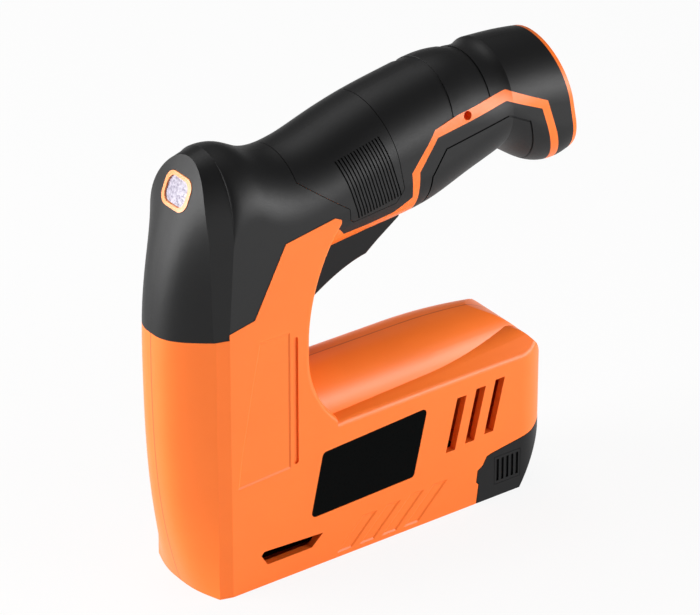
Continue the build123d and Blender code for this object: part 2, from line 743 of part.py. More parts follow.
with BuildPart() as housing_left:
    add(housing_half.part)
    add(screw_holes.part, mode=Mode.SUBTRACT)
housing_left.part.label = "housing_left"
export_step(housing_left.part, "parts/housing_left.step")

with BuildPart() as housing_right:
    mirror(housing_half.part, about=Plane.XZ)
    add(screw_holes.part, mode=Mode.SUBTRACT)
housing_right.part.label = "housing_right"
export_step(housing_right.part, "parts/housing_right.step")

with BuildPart() as head_grip_left:
    add(overmold_half)
    add(lamp_hole.part, mode=Mode.SUBTRACT)
    add(screw_holes.part, mode=Mode.SUBTRACT)
head_grip_left.part.label = "head_grip_left"
export_step(head_grip_left.part, "parts/head_grip_left.step")

with BuildPart() as head_grip_right:
    mirror(overmold_half, about=Plane.XZ)
    add(lamp_hole.part, mode=Mode.SUBTRACT)
    add(screw_holes.part, mode=Mode.SUBTRACT)
head_grip_right.part.label = "head_grip_right"
export_step(head_grip_right.part, "parts/head_grip_right.step")

with BuildPart() as lower_grip_right:
    mirror(lower_grip_left.part, about=Plane.XZ)
    add(screw_holes.part, mode=Mode.SUBTRACT)
lower_grip_left.part.label = "lower_grip_left"
export_step(lower_grip_left.part, "parts/lower_grip_left.step")
lower_grip_right.part.label = "lower_grip_right"
export_step(lower_grip_right.part, "parts/lower_grip_right.step")

with BuildPart() as housing_screws:
    for x, z, head_side, thick in SCREWS:
        tip = -SCREW_TIP * head_side
        seat = SCREW_SEAT * head_side
        top = (SCREW_SEAT + SCREW_HEAD_TALL) * head_side
        add(cross_pin(x, z, thick / 2, min(tip, seat), max(tip, seat)))
        add(cross_pin(x, z, SCREW_HEAD_SHARE * thick / 2, min(seat, top), max(seat, top)))
    for x, z, head_side, thick in SCREWS:
        with Locations((x, (SCREW_SEAT + SCREW_HEAD_TALL) * head_side, z)):
            Box(1.1 * thick, 2, 0.28 * thick, mode=Mode.SUBTRACT)
            Box(0.28 * thick, 2, 1.1 * thick, mode=Mode.SUBTRACT)
housing_screws.part.label = "housing_screws"
export_step(housing_screws.part, "parts/housing_screws.step")

# Handle end cap with a recessed pad and the charging opening
handle_pad = handle_body(END_PAD_RIM)
with BuildPart() as end_pad:
    add(handle_pad)
    split(bisect_by=end_plane.offset(-SEAM_STEP), keep=Keep.BOTTOM)
    split(bisect_by=end_plane.offset(-END_PAD_SEAT), keep=Keep.TOP)
    with Locations((HANDLE_END, 0, SOCKET_Z)):
        Box(40, PORT_WIDTH, PORT_TALL, mode=Mode.SUBTRACT)
end_pad.part.label = "end_pad"
export_step(end_pad.part, "parts/end_pad.step")

with BuildPart() as end_recess:
    add(handle_pad)
    split(bisect_by=end_plane.offset(-END_PAD_SEAT), keep=Keep.TOP)

with BuildPart() as handle_end_cap:
    add(handle_full)
    split(bisect_by=end_plane, keep=Keep.BOTTOM)
    split(bisect_by=end_plane.offset(-END_CAP_THICK), keep=Keep.TOP)
    add(end_recess.part, mode=Mode.SUBTRACT)
    with Locations((HANDLE_END, 0, SOCKET_Z)):
        Box(40, PORT_WIDTH, PORT_TALL, mode=Mode.SUBTRACT)
handle_end_cap.part.label = "handle_end_cap"
export_step(handle_end_cap.part, "parts/handle_end_cap.step")

# Plain side plates
with BuildPart() as side_plate_left:
    with BuildSketch(side_plane.offset(HALF - PLATE_SEAT)):
        add(plate_outline.sketch)
        offset(amount=-0.15, kind=Kind.INTERSECTION)
    extrude(amount=PLATE_SEAT - FIT)
side_plate_left.part.label = "side_plate_left"
export_step(side_plate_left.part, "parts/side_plate_left.step")

with BuildPart() as side_plate_right:
    mirror(side_plate_left.part, about=Plane.XZ)
side_plate_right.part.label = "side_plate_right"
export_step(side_plate_right.part, "parts/side_plate_right.step")

# Lamp: bezel, lens and board
lamp_front = front_form(-0.3)
lens_front = front_form(0.5)
with BuildPart() as light_bezel:
    with BuildSketch(Plane.YZ.offset(LAMP_BACK)):
        with Locations((0, LAMP_Z)):
            RectangleRounded(LAMP_WIDTH - 2 * FIT, LAMP_TALL - 2 * FIT, LAMP_CORNER - FIT)
            RectangleRounded(LENS_WIDTH, LENS_TALL, LENS_CORNER, mode=Mode.SUBTRACT)
    extrude(amount=-OUTSIDE)
    add(lamp_front, mode=Mode.INTERSECT)
light_bezel.part.label = "light_bezel"
export_step(light_bezel.part, "parts/light_bezel.step")

with BuildPart() as light_lens:
    with BuildSketch(Plane.YZ.offset(LAMP_BACK)):
        with Locations((0, LAMP_Z)):
            RectangleRounded(LENS_WIDTH, LENS_TALL, LENS_CORNER)
    extrude(amount=-OUTSIDE)
    add(lens_front, mode=Mode.INTERSECT)
light_lens.part.label = "light_lens"
export_step(light_lens.part, "parts/light_lens.step")

with BuildPart() as light_board:
    with Locations((LAMP_BACK + BOARD_THICK / 2 + RUN_GAP, 0, LAMP_Z)):
        Box(BOARD_THICK, 15, 12)
light_board.part.label = "light_board"
export_step(light_board.part, "parts/light_board.step")

# Trigger: finger face below, neck with a stop bar above
with BuildPart() as trigger:
    with BuildSketch(side_plane):
        with BuildLine():
            Polyline((TRIGGER_FRONT, TRIGGER_TOP - 6), (TRIGGER_FRONT, TRIGGER_TIP))
            Spline((TRIGGER_FRONT, TRIGGER_TIP), (48, 106.8), (55, 110.9), (62.6, 114.5), (72, 117.2))
            Polyline((72, 117.2), (77.1, 121.2), (TRIGGER_REAR, 127.8), (TRIGGER_REAR, TRIGGER_TOP),
                     (44, TRIGGER_TOP), (TRIGGER_FRONT, TRIGGER_TOP - 6))
        make_face()
    extrude(amount=TRIGGER_WIDTH / 2, both=True)
    finger = trigger.edges().filter_by(lambda e: abs(abs(e.center().Y) - TRIGGER_WIDTH / 2) < 0.01
                                       and e.center().Z < 125 and e.center().X > 40)
    fillet(finger, TRIGGER_ROUND)
    with Locations((SWITCH_X, 0, (TRIGGER_TOP + NECK_TOP) / 2)):
        Box(8, 10, NECK_TOP - TRIGGER_TOP)
    add(cross_pin(SWITCH_X, NECK_TOP - 1.6, 1.5, -11, 11))
trigger.part.label = "trigger"
export_step(trigger.part, "parts/trigger.step")

with BuildPart() as switch_plunger:
    with BuildSketch(Plane.XY.offset(NECK_TOP)):
        with Locations((SWITCH_X, 0)):
            Circle(PLUNGER_DIAMETER / 2)
    extrude(amount=SWITCH_Z - NECK_TOP + PLUNGER_DEPTH)
switch_plunger.part.label = "switch_plunger"
export_step(switch_plunger.part, "parts/switch_plunger.step")

with BuildPart() as trigger_switch:
    with Locations((SWITCH_X, 0, SWITCH_Z + SWITCH_TALL / 2)):
        Box(SWITCH_LONG, SWITCH_WIDTH, SWITCH_TALL)
    with BuildSketch(Plane.XY.offset(SWITCH_Z)):
        with Locations((SWITCH_X, 0)):
            Circle(PLUNGER_DIAMETER / 2 + RUN_GAP)
    extrude(amount=PLUNGER_DEPTH + TRIGGER_TRAVEL + 0.6, mode=Mode.SUBTRACT)
    with Locations((SWITCH_X - SWITCH_LONG / 2 - 0.8, -LEAD_SPREAD, SWITCH_Z + 8),
                   (SWITCH_X - SWITCH_LONG / 2 - 0.8, LEAD_SPREAD, SWITCH_Z + 8)):
        Box(1.6, 1.2, 2.4)
trigger_switch.part.label = "trigger_switch"
export_step(trigger_switch.part, "parts/trigger_switch.step")


# Round-wire coil spring along a direction
def coil(start, direction, length, mean_radius, wire, turns):
    with BuildPart() as spring:
        with BuildLine() as path:
            Helix((length - wire) / turns, length - wire, mean_radius, center=start, direction=direction)
        with BuildSketch(Plane(path.line @ 0, z_dir=path.line % 0)):
            Circle(wire / 2)
        sweep(is_frenet=True)
    return spring.part


spring_solid = coil((SWITCH_X, 0, NECK_TOP + 0.45), (0, 0, 1), SWITCH_Z - NECK_TOP - 0.1, 3.7, 0.8, 4)
with BuildPart() as trigger_spring:
    add(spring_solid)
trigger_spring.part.label = "trigger_spring"
export_step(trigger_spring.part, "parts/trigger_spring.step")

# Cell, control board and charging socket in the handle
with BuildPart() as battery_cell:
    with BuildSketch(Plane.YZ.offset(CELL_START)):
        with Locations((0, CELL_Z)):
            Circle(CELL_DIAMETER / 2)
    extrude(amount=CELL_LENGTH)
    fillet(battery_cell.edges(), 0.8)
    with BuildSketch(Plane.YZ.offset(CELL_START)):
        with Locations((0, CELL_Z)):
            Circle(3.5)
    extrude(amount=-1.2)
battery_cell.part.label = "battery_cell"
export_step(battery_cell.part, "parts/battery_cell.step")

with BuildPart() as control_board:
    with Locations((BOARD_X, 0, BOARD_LOW + BOARD_THICK / 2)):
        Box(BOARD_LONG, BOARD_WIDTH, BOARD_THICK)
    for x, y, size, tall in ((-11.2, -4, 5.5, 1.6), (-3.2, 4, 7, 2), (4.8, -5, 5, 3)):
        with Locations((BOARD_X + x, y, BOARD_LOW + BOARD_THICK + tall / 2)):
            Box(size, size, tall)
control_board.part.label = "control_board"
export_step(control_board.part, "parts/control_board.step")

with BuildPart() as charge_socket:
    with Locations((HANDLE_END - 5, 0, SOCKET_Z)):
        Box(10, PORT_WIDTH - 1, PORT_TALL - 2 * PORT_ROOM)
    with Locations((HANDLE_END, 0, SOCKET_Z)):
        Box(12, PORT_WIDTH - 2.2, PORT_TALL - 2 * PORT_ROOM - 1, mode=Mode.SUBTRACT)
charge_socket.part.label = "charge_socket"
export_step(charge_socket.part, "parts/charge_socket.step")

# Striker guide: nose guide, base block, bumper, rods, hammer with rack, blade, pin, plate and spring
with BuildPart() as nose_guide:
    with Locations(((GUIDE_FRONT + GUIDE_REAR) / 2, 0, (GUIDE_TOP + 0.4) / 2)):
        Box(GUIDE_REAR - GUIDE_FRONT, GUIDE_WIDTH, GUIDE_TOP - 0.4)
    chamfer(nose_guide.edges().filter_by(Axis.Z).group_by(Axis.X)[0], GUIDE_CORNER)
    with Locations((0, 0, GUIDE_TOP / 2)):
        Box(BLADE_THICK + BLADE_ROOM, BLADE_WIDTH + 2 * BLADE_ROOM, 2 * GUIDE_TOP, mode=Mode.SUBTRACT)
    with Locations((BLADE_HALF + 10, 0, (CHANNEL_TOP - SHEET) / 2)):
        Box(20, CHANNEL_INNER, CHANNEL_TOP - SHEET, mode=Mode.SUBTRACT)
nose_guide.part.label = "nose_guide"
export_step(nose_guide.part, "parts/nose_guide.step")

with BuildPart() as striker_base:
    with Locations((0.3, 0, (GUIDE_TOP + BASE_TOP) / 2)):
        Box(BLOCK_DEEP, HAMMER_WIDTH, BASE_TOP - GUIDE_TOP)
    chamfer(striker_base.edges().filter_by(Axis.Z).group_by(Axis.X)[0], BLOCK_CORNER)
    with Locations((0, 0, BASE_TOP)):
        Box(BLADE_THICK + BLADE_ROOM, BLADE_WIDTH + 2 * BLADE_ROOM, 60, mode=Mode.SUBTRACT)
    with BuildSketch(Plane.XY.offset(ROD_LOW)):
        with Locations(*ROD_PLACES):
            Circle(ROD_DIAMETER / 2)
    extrude(amount=40, mode=Mode.SUBTRACT)
striker_base.part.label = "striker_base"
export_step(striker_base.part, "parts/striker_base.step")

with BuildPart() as bumper:
    with Locations((0.3, 0, (BASE_TOP + HAMMER_LOW - 0.3) / 2)):
        Box(9.4, 17.4, HAMMER_LOW - 0.3 - BASE_TOP)
    with Locations((0, 0, BASE_TOP)):
        Box(BLADE_THICK + BLADE_ROOM, BLADE_WIDTH + 2 * BLADE_ROOM, 60, mode=Mode.SUBTRACT)
bumper.part.label = "bumper"
export_step(bumper.part, "parts/bumper.step")

with BuildPart() as guide_rods:
    with BuildSketch(Plane.XY.offset(ROD_LOW)):
        with Locations(*ROD_PLACES):
            Circle(ROD_DIAMETER / 2)
    extrude(amount=SPRING_PLATE_Z + SPRING_PLATE_THICK - ROD_LOW)
guide_rods.part.label = "guide_rods"
export_step(guide_rods.part, "parts/guide_rods.step")

with BuildPart() as spring_plate:
    with Locations((2.4, 0, SPRING_PLATE_Z + SPRING_PLATE_THICK / 2)):
        Box(13.2, ROD_SPACING + ROD_DIAMETER + 1.4, SPRING_PLATE_THICK)
    add(guide_rods.part, mode=Mode.SUBTRACT)
spring_plate.part.label = "spring_plate"
export_step(spring_plate.part, "parts/spring_plate.step")

rack_top = TUBE_AXIS + 1.5 * TOOTH_PITCH
rack_low = TUBE_AXIS - (RACK_TEETH - 1) * TOOTH_PITCH
with BuildPart() as hammer:
    with Locations((0.3, 0, (HAMMER_LOW + HAMMER_TOP) / 2)):
        Box(BLOCK_DEEP, HAMMER_WIDTH, HAMMER_TALL)
    chamfer(hammer.edges().filter_by(Axis.Z).group_by(Axis.X)[0], BLOCK_CORNER)
    rack_rear = LIFT_FRONT + LIFT_FACE
    with Locations(((5.5 + rack_rear) / 2, (HAMMER_WIDTH / 2 + 12) / 2, HAMMER_LOW + HAMMER_TALL / 2)):
        Box(rack_rear - 5.5, HAMMER_WIDTH / 2 - 12, HAMMER_TALL)
    with BuildSketch(Plane.YZ.offset(LIFT_FRONT + 0.2)):
        root = RACK_PITCH_Y + LIFT_DEDENDUM
        tip = RACK_PITCH_Y - LIFT_ADDENDUM
        with BuildLine():
            Polyline((root, rack_low), (HAMMER_WIDTH / 2, rack_low), (HAMMER_WIDTH / 2, rack_top),
                     (root, rack_top), close=True)
        make_face()
        narrow = TOOTH_PITCH / 4 - LIFT_PLAY - LIFT_ADDENDUM * tan(radians(PRESSURE))
        wide = TOOTH_PITCH / 4 - LIFT_PLAY + LIFT_DEDENDUM * tan(radians(PRESSURE))
        for k in range(RACK_TEETH):
            z = TUBE_AXIS + TOOTH_PITCH * (0.5 - k)
            with BuildLine():
                Polyline((root + 0.2, z - wide), (tip, z - narrow), (tip, z + narrow), (root + 0.2, z + wide),
                         close=True)
            make_face()
    extrude(amount=LIFT_FACE - 0.4)
    with BuildSketch(Plane.XY.offset(HAMMER_LOW)):
        with Locations(*ROD_PLACES):
            Circle(ROD_DIAMETER / 2 + RUN_GAP)
    extrude(amount=HAMMER_TALL, mode=Mode.SUBTRACT)
    with Locations((0, 0, HAMMER_LOW)):
        Box(BLADE_THICK, BLADE_WIDTH, 2 * BLADE_SEAT, mode=Mode.SUBTRACT)
    with BuildSketch(Plane.YZ.offset(-10)):
        with Locations((0, PIN_Z)):
            Circle(BLADE_PIN / 2)
    extrude(amount=20, mode=Mode.SUBTRACT)
hammer.part.label = "hammer"
export_step(hammer.part, "parts/hammer.step")

with BuildPart() as striker_blade:
    with Locations((0, 0, (BLADE_TIP + HAMMER_LOW + BLADE_SEAT) / 2)):
        Box(BLADE_THICK, BLADE_WIDTH, HAMMER_LOW + BLADE_SEAT - BLADE_TIP)
    with BuildSketch(Plane.YZ.offset(-10)):
        with Locations((0, PIN_Z)):
            Circle(BLADE_PIN / 2)
    extrude(amount=20, mode=Mode.SUBTRACT)
striker_blade.part.label = "striker_blade"
export_step(striker_blade.part, "parts/striker_blade.step")

with BuildPart() as blade_pin:
    with BuildSketch(Plane.YZ.offset(-4.9)):
        with Locations((0, PIN_Z)):
            Circle(BLADE_PIN / 2)
    extrude(amount=BLOCK_DEEP)
blade_pin.part.label = "blade_pin"
export_step(blade_pin.part, "parts/blade_pin.step")

drive_coil = coil((0, 0, HAMMER_TOP + SPRING_WIRE / 2 + 0.05), (0, 0, 1), SPRING_PLATE_Z - HAMMER_TOP - 0.1,
                  SPRING_DIAMETER / 2, SPRING_WIRE, 10)
with BuildPart() as drive_spring:
    add(drive_coil)
drive_spring.part.label = "drive_spring"
export_step(drive_spring.part, "parts/drive_spring.step")


# Plane across the gear axis at a distance along X
def gear_plane(x):
    return Plane((x, 0, TUBE_AXIS), x_dir=(0, 1, 0), z_dir=(1, 0, 0))


# Half angle of a gear tooth at a radius, by the involute of its base circle
def tooth_half_angle(radius, pitch_radius, half_pitch_angle):
    base = pitch_radius * cos(radians(PRESSURE))
    full = half_pitch_angle + tan(radians(PRESSURE)) - radians(PRESSURE)
    if radius <= base:
        return full
    return full - (sqrt((radius / base) ** 2 - 1) - acos(base / radius))


# One gear tooth as points, centred on an angle in radians; play widens or narrows it
def tooth_points(teeth, module, angle, root, tip, play):
    pitch_radius = module * teeth / 2
    half_pitch_angle = (pi * module / 4 - play) / pitch_radius
    radii = [root + (tip - root) * k / 4 for k in range(5)]
    rising = [(r, angle - tooth_half_angle(r, pitch_radius, half_pitch_angle)) for r in radii]
    falling = [(r, angle + tooth_half_angle(r, pitch_radius, half_pitch_angle)) for r in radii[::-1]]
    return [(r * cos(a), r * sin(a)) for r, a in rising + falling]


# Outline of a whole gear
def gear_outline(teeth, module, angle, root, tip, play):
    points = []
    for k in range(teeth):
        points = points + tooth_points(teeth, module, angle + 2 * pi * k / teeth, root, tip, play)
    return points


# Lifting gear with teeth on part of its rim, meshing with the hammer's rack
sector_root = RACK_PITCH_Y - LIFT_DEDENDUM
sector_tip = RACK_PITCH_Y + LIFT_ADDENDUM
with BuildPart() as lift_gear:
    with BuildSketch(gear_plane(LIFT_FRONT)):
        Circle(sector_root)
        for k in range(SECTOR_TEETH):
            angle = -2 * pi * k / LIFT_TEETH
            with BuildLine():
                Polyline(*tooth_points(LIFT_TEETH, LIFT_MODULE, angle, sector_root - 0.3, sector_tip,
                                       LIFT_PLAY), close=True)
            make_face()
        Circle(SHAFT_DIAMETER / 2, mode=Mode.SUBTRACT)
    extrude(amount=LIFT_FACE)
lift_gear.part.label = "lift_gear"
export_step(lift_gear.part, "parts/lift_gear.step")

# Shaft bracket with its bush, across the column behind the lifting gear
with BuildPart() as shaft_bracket:
    with Locations((BRACKET_X + BRACKET_THICK / 2, 0, TUBE_AXIS - 8.5)):
        Box(BRACKET_THICK, 2 * (HALF - WALL - 0.4), 56)
    with BuildSketch(Plane.YZ.offset(0)):
        with Locations((0, TUBE_AXIS)):
            Circle(BUSH_RADIUS)
    extrude(amount=40, mode=Mode.SUBTRACT)
shaft_bracket.part.label = "shaft_bracket"
export_step(shaft_bracket.part, "parts/shaft_bracket.step")

with BuildPart() as shaft_bush:
    with BuildSketch(Plane.YZ.offset(BRACKET_X - 1)):
        with Locations((0, TUBE_AXIS)):
            Circle(BUSH_RADIUS)
            Circle(SHAFT_DIAMETER / 2 + RUN_GAP, mode=Mode.SUBTRACT)
    extrude(amount=BRACKET_THICK + 2)
shaft_bush.part.label = "shaft_bush"
export_step(shaft_bush.part, "parts/shaft_bush.step")

# Two-stage planetary gearbox
planet_turn = pi - (0.5 * 2 * pi / PLANET_TEETH)
ring_turn = planet_turn * PLANET_TEETH / RING_TEETH
with BuildPart() as gear_ring:
    with BuildSketch(gear_plane(GEARBOX_FRONT)):
        Circle(GEARBOX_RADIUS)
    extrude(amount=MOTOR_FACE - GEARBOX_FRONT)
    with BuildSketch(gear_plane(GEARBOX_FRONT + 2.5)):
        with BuildLine():
            Polyline(*gear_outline(RING_TEETH, GEAR_MODULE, ring_turn, RING_INNER - TOOTH_OUT,
                                   RING_INNER + TOOTH_IN, -PLAY), close=True)
        make_face()
    extrude(amount=60, mode=Mode.SUBTRACT)
    with BuildSketch(gear_plane(GEARBOX_FRONT - 5)):
        Circle(SHAFT_DIAMETER / 2 + RUN_GAP)
    extrude(amount=20, mode=Mode.SUBTRACT)
gear_ring.part.label = "gear_ring"
export_step(gear_ring.part, "parts/gear_ring.step")

for stage, gears_x in (("out", OUT_GEARS), ("mid", MID_GEARS)):
    for number, place in enumerate(PLANET_ANGLES):
        sun_share = place * SUN_TEETH / (2 * pi)
        turn = place + pi - (0.5 - sun_share) * 2 * pi / PLANET_TEETH
        middle = PLANET_PLACES[number]
        outline = gear_outline(PLANET_TEETH, GEAR_MODULE, turn, PLANET_RADIUS - TOOTH_IN,
                               PLANET_RADIUS + TOOTH_OUT, PLAY)
        with BuildPart() as planet:
            with BuildSketch(gear_plane(gears_x)):
                with BuildLine():
                    Polyline(*[(y + middle[0], z + middle[1]) for y, z in outline], close=True)
                make_face()
                with Locations(middle):
                    Circle(PIN_DIAMETER / 2 + RUN_GAP, mode=Mode.SUBTRACT)
            extrude(amount=GEAR_FACE)
        planet.part.label = f"planet_{stage}_{number + 1}"
        export_step(planet.part, f"parts/planet_{stage}_{number + 1}.step")

sun_points = gear_outline(SUN_TEETH, GEAR_MODULE, 0, SUN_RADIUS - TOOTH_IN, SUN_RADIUS + TOOTH_OUT, PLAY)
with BuildPart() as output_shaft:
    with BuildSketch(gear_plane(OUT_PLATE)):
        Circle(CARRIER_RADIUS)
    extrude(amount=CARRIER_THICK)
    with BuildSketch(gear_plane(OUT_PLATE + CARRIER_THICK)):
        with Locations(*PLANET_PLACES):
            Circle(PIN_DIAMETER / 2)
    extrude(amount=GEAR_FACE + 1)
    with BuildSketch(gear_plane(LIFT_FRONT)):
        Circle(SHAFT_DIAMETER / 2)
    extrude(amount=OUT_PLATE - LIFT_FRONT)
output_shaft.part.label = "output_shaft"
export_step(output_shaft.part, "parts/output_shaft.step")

with BuildPart() as mid_carrier:
    with BuildSketch(gear_plane(MID_PLATE)):
        Circle(CARRIER_RADIUS)
    extrude(amount=CARRIER_THICK)
    with BuildSketch(gear_plane(MID_PLATE + CARRIER_THICK)):
        with Locations(*PLANET_PLACES):
            Circle(PIN_DIAMETER / 2)
    extrude(amount=GEAR_FACE + 1)
    with BuildSketch(gear_plane(OUT_GEARS - 0.4)):
        with BuildLine():
            Polyline(*sun_points, close=True)
        make_face()
    extrude(amount=MID_PLATE - OUT_GEARS + 0.4)
mid_carrier.part.label = "mid_carrier"
export_step(mid_carrier.part, "parts/mid_carrier.step")

# Motor: can with magnets, end bell, and rotor carrying the first sun
with BuildPart() as motor_can:
    with BuildSketch(gear_plane(MOTOR_FACE)):
        Circle(MOTOR_RADIUS)
    extrude(amount=MOTOR_LENGTH)
    with BuildSketch(gear_plane(MOTOR_FACE + 1.5)):
        Circle(MOTOR_RADIUS - CAN_WALL)
    extrude(amount=MOTOR_LENGTH, mode=Mode.SUBTRACT)
    with BuildSketch(gear_plane(MOTOR_FACE - 1)):
        Circle(MOTOR_SHAFT / 2 + RUN_GAP)
    extrude(amount=5, mode=Mode.SUBTRACT)
motor_can.part.label = "motor_can"
export_step(motor_can.part, "parts/motor_can.step")

with BuildPart() as motor_magnets:
    with BuildSketch(gear_plane(MOTOR_FACE + 4)):
        Circle(MOTOR_RADIUS - CAN_WALL)
        Circle(MOTOR_RADIUS - CAN_WALL - MAGNET_THICK, mode=Mode.SUBTRACT)
        Rectangle(60, 6, mode=Mode.SUBTRACT)
    extrude(amount=MOTOR_LENGTH - 12)
motor_magnets.part.label = "motor_magnets"
export_step(motor_magnets.part, "parts/motor_magnets.step")

with BuildPart() as motor_bell:
    with BuildSketch(gear_plane(MOTOR_REAR)):
        Circle(MOTOR_RADIUS)
    extrude(amount=BELL_THICK)
    with BuildSketch(gear_plane(MOTOR_REAR - 1)):
        Circle(MOTOR_SHAFT / 2 + RUN_GAP)
    extrude(amount=BELL_THICK - 0.5, mode=Mode.SUBTRACT)
    with Locations((MOTOR_REAR + BELL_THICK + 2, -LEAD_SPREAD, TUBE_AXIS),
                   (MOTOR_REAR + BELL_THICK + 2, LEAD_SPREAD, TUBE_AXIS)):
        Box(4, 0.6, 3)
motor_bell.part.label = "motor_bell"
export_step(motor_bell.part, "parts/motor_bell.step")

with BuildPart() as motor_rotor:
    with BuildSketch(gear_plane(MID_GEARS - 0.3)):
        with BuildLine():
            Polyline(*sun_points, close=True)
        make_face()
    extrude(amount=GEAR_FACE + 0.6)
    with BuildSketch(gear_plane(MID_GEARS)):
        Circle(MOTOR_SHAFT / 2)
    extrude(amount=MOTOR_REAR + 2 - MID_GEARS)
    with BuildSketch(gear_plane(MOTOR_FACE + 5)):
        Circle(ROTOR_RADIUS)
        with PolarLocations(ROTOR_RADIUS - 2.5, 5):
            Circle(2)
        for k in range(5):
            with Locations(Location((0, 0, 0), (0, 0, 72 * k))):
                with Locations((ROTOR_RADIUS - 1, 0)):
                    Rectangle(4, 1.6, mode=Mode.SUBTRACT)
    extrude(amount=MOTOR_LENGTH - 15)
    with BuildSketch(gear_plane(MOTOR_REAR - 9)):
        Circle(4)
    extrude(amount=7)
motor_rotor.part.label = "motor_rotor"
export_step(motor_rotor.part, "parts/motor_rotor.step")

# Leads from the switch down the column to the motor terminals
with BuildPart() as motor_leads:
    for y in (-LEAD_SPREAD, LEAD_SPREAD):
        with BuildLine() as route:
            FilletPolyline((SWITCH_X - SWITCH_LONG / 2 - 1.6, y, SWITCH_Z + 8),
                           (LEAD_DOWN_X, y, SWITCH_Z + 8), (LEAD_DOWN_X, y, LEAD_Z), (118, y, LEAD_Z),
                           (118, y, TUBE_AXIS), (MOTOR_REAR + BELL_THICK + 4, y, TUBE_AXIS), radius=3)
        with BuildSketch(Plane(route.line @ 0, z_dir=route.line % 0)):
            Circle(LEAD_RADIUS)
        sweep()
motor_leads.part.label = "motor_leads"
export_step(motor_leads.part, "parts/motor_leads.step")

# Staple channel fixed in the base, open below, with side flanges
channel_length = CHANNEL_END - CHANNEL_FRONT
channel_middle = (CHANNEL_FRONT + CHANNEL_END) / 2
with BuildPart() as staple_channel:
    with Locations((channel_middle, 0, (CHANNEL_TOP + 1) / 2)):
        Box(channel_length, CHANNEL_INNER + 2 * SHEET, CHANNEL_TOP - 1)
    with Locations((channel_middle, 0, (CHANNEL_TOP - SHEET) / 2)):
        Box(channel_length + 2, CHANNEL_INNER, CHANNEL_TOP - SHEET, mode=Mode.SUBTRACT)
    with Locations((channel_middle, -(CHANNEL_HALF + SHEET + 1.2), WALL + 0.7),
                   (channel_middle, CHANNEL_HALF + SHEET + 1.2, WALL + 0.7)):
        Box(channel_length, 2.8, 1.2)
staple_channel.part.label = "staple_channel"
export_step(staple_channel.part, "parts/staple_channel.step")

# Sliding magazine: rail, spring rod, pusher, pusher spring, end cap and two squeeze catches
with BuildPart() as magazine_rail:
    with Locations(((RAIL_FRONT + RAIL_END) / 2, 0, (RAIL_LOW + RAIL_TOP) / 2)):
        Box(RAIL_END - RAIL_FRONT, RAIL_WIDTH, RAIL_TOP - RAIL_LOW)
    with Locations(((RAIL_FRONT + RAIL_END) / 2, 0, (RAIL_LOW + RAIL_TOP) / 2 + SHEET)):
        Box(RAIL_END - RAIL_FRONT + 2, RAIL_WIDTH - 2 * SHEET, RAIL_TOP - RAIL_LOW, mode=Mode.SUBTRACT)
magazine_rail.part.label = "magazine_rail"
export_step(magazine_rail.part, "parts/magazine_rail.step")

with BuildPart() as pusher_rod:
    with BuildSketch(Plane.YZ.offset(6)):
        with Locations((0, PUSHER_ROD_Z)):
            Circle(PUSHER_ROD / 2)
    extrude(amount=RAIL_END - 6)
pusher_rod.part.label = "pusher_rod"
export_step(pusher_rod.part, "parts/pusher_rod.step")

with BuildPart() as pusher:
    with Locations((PUSHER_FRONT + PUSHER_LONG / 2, 0, 9)):
        Box(PUSHER_LONG, STAPLE_WIDTH - 0.2, 13)
    with Locations((PUSHER_FRONT + PUSHER_LONG / 2, 0, RAIL_TOP / 2 + 0.15)):
        Box(PUSHER_LONG + 2, RAIL_WIDTH + 0.4, RAIL_TOP + 0.3, mode=Mode.SUBTRACT)
    with Locations((PUSHER_FRONT + 7, 0, 8.9)):
        Box(6, RAIL_WIDTH - 2 * SHEET - 0.5, 9.4)
    with BuildSketch(Plane.YZ):
        with Locations((0, PUSHER_ROD_Z)):
            Circle(PUSHER_ROD / 2 + 0.15)
    extrude(amount=30, mode=Mode.SUBTRACT)
pusher.part.label = "pusher"
export_step(pusher.part, "parts/pusher.step")

pusher_coil = coil((PUSHER_TONGUE + 0.4, 0, PUSHER_ROD_Z), (1, 0, 0), CAP_FRONT - PUSHER_TONGUE - 0.2,
                   2.2, 0.6, 20)
with BuildPart() as pusher_spring:
    add(pusher_coil)
pusher_spring.part.label = "pusher_spring"
export_step(pusher_spring.part, "parts/pusher_spring.step")

with BuildPart() as magazine_cap:
    add(body_outer)
    mirror(about=Plane.XZ)
    extrude(to_extrude=cap_outline.sketch, amount=OUTSIDE, both=True, mode=Mode.INTERSECT)
    for y in (-1, 1):
        with Locations((CATCH_X, y * (POCKET_FLOOR + 10), CATCH_Z)):
            Box(CATCH_LONG + 2 * CATCH_GAP, 20, CATCH_TALL + 2 * CATCH_GAP, mode=Mode.SUBTRACT)
    add(magazine_rail.part, mode=Mode.SUBTRACT)
    add(pusher_rod.part, mode=Mode.SUBTRACT)
magazine_cap.part.label = "magazine_cap"
export_step(magazine_cap.part, "parts/magazine_cap.step")

with BuildPart() as catch_left:
    with Locations((CATCH_X, -(CATCH_INNER + OUTSIDE) / 2, CATCH_Z)):
        Box(CATCH_LONG, OUTSIDE - CATCH_INNER, CATCH_TALL)
    add(body_outer, mode=Mode.INTERSECT)
    for k in range(CATCH_RIBS):
        with Locations((CATCH_X + 2.35 * (k - (CATCH_RIBS - 1) / 2), -HALF, CATCH_Z)):
            Box(1.2, 1.4, CATCH_TALL - 2.4, mode=Mode.SUBTRACT)
    add(cross_pin(CATCH_X, CATCH_Z, 2.8, -CATCH_BORE, -10), mode=Mode.SUBTRACT)
catch_left.part.label = "catch_left"
export_step(catch_left.part, "parts/catch_left.step")
with BuildPart() as catch_right:
    mirror(catch_left.part, about=Plane.XZ)
catch_right.part.label = "catch_right"
export_step(catch_right.part, "parts/catch_right.step")

